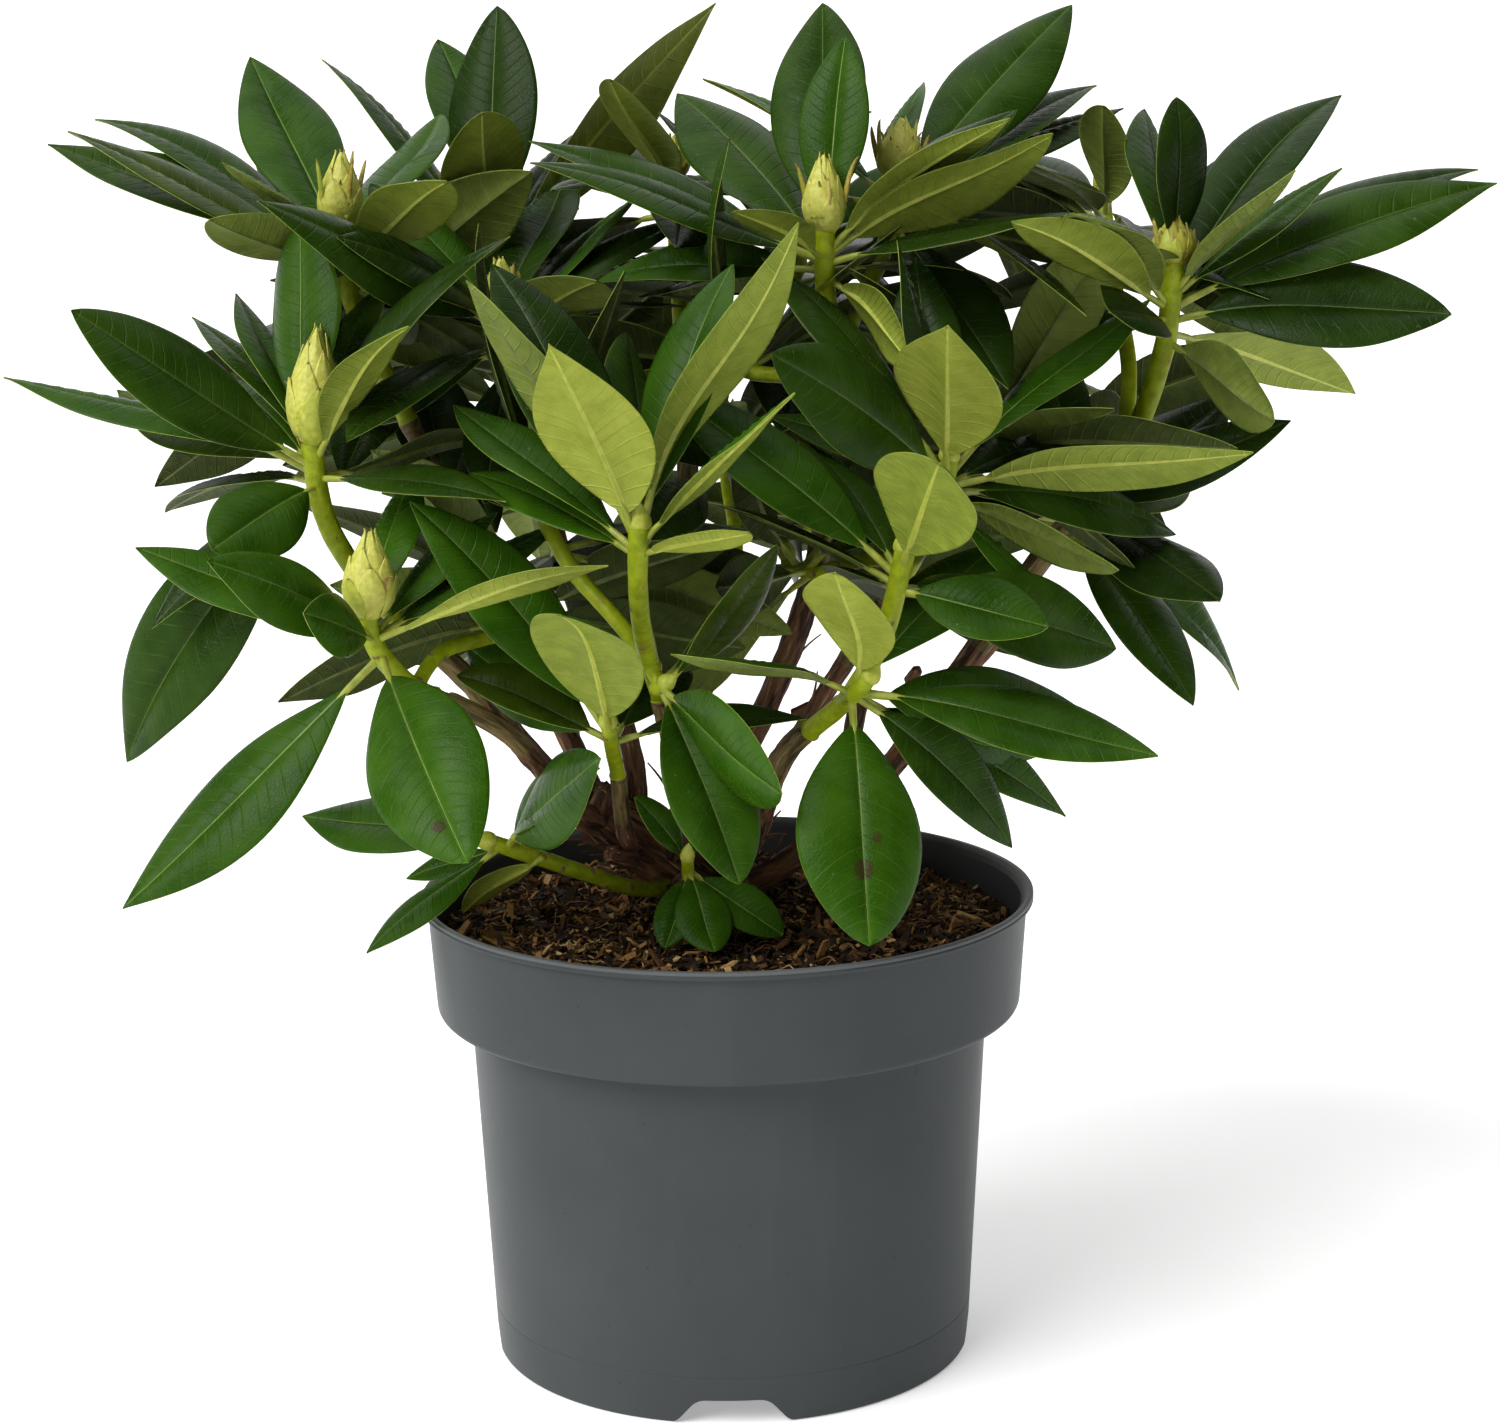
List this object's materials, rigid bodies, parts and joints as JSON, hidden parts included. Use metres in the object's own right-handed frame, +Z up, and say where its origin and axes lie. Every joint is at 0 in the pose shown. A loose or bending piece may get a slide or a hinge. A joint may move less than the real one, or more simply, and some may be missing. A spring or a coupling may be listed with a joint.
{
  "type": "potted rhododendron",
  "caption": "Evergreen rhododendron in bud: leaf whorls on woody stems that spread from a low trunk, in a round plastic nursery pot filled with potting mix.",
  "frame": {"origin": "centre of the pot's flat underside", "axes": "+Z up along the pot's axis; the front, as pictured, faces -Y; +X is to the right of it"},
  "size_m": [0.539, 0.4212, 0.503],
  "materials": {
    "pot": "satin moulded",
    "potting_mix": "coarse bark and peat",
    "bark": "rough fibrous",
    "foliage": "glossy above, matt below"
  },
  "bodies": {
    "root": {"bough_back": "bark", "bough_back_left": "bark", "bough_back_right": "bark", "bough_centre_low": "bark", "bough_front": "bark", "bough_front_right": "bark", "bough_inner_right": "bark", "bough_left": "bark", "bough_left_back": "bark", "bough_left_low": "bark", "bough_rear_left": "bark", "bough_rear_low": "bark", "bough_right_far": "bark", "bough_right_low": "bark", "bough_top": "bark", "mass_back_left": "foliage", "mass_back_top": "foliage", "mass_centre_low": "foliage", "mass_front": "foliage", "mass_front_right": "foliage", "mass_inner_right": "foliage", "mass_left": "foliage", "mass_left_low": "foliage", "mass_left_top": "foliage", "mass_rear_left": "foliage", "mass_rear_low": "foliage", "mass_rear_right": "foliage", "mass_right_low": "foliage", "mass_right_top": "foliage", "mass_sprout_front": "foliage", "mass_sprout_left": "foliage", "mass_top": "foliage", "pot": "pot", "potting_mix": "potting_mix", "trunk": "bark"}
  },
  "joints": []
}
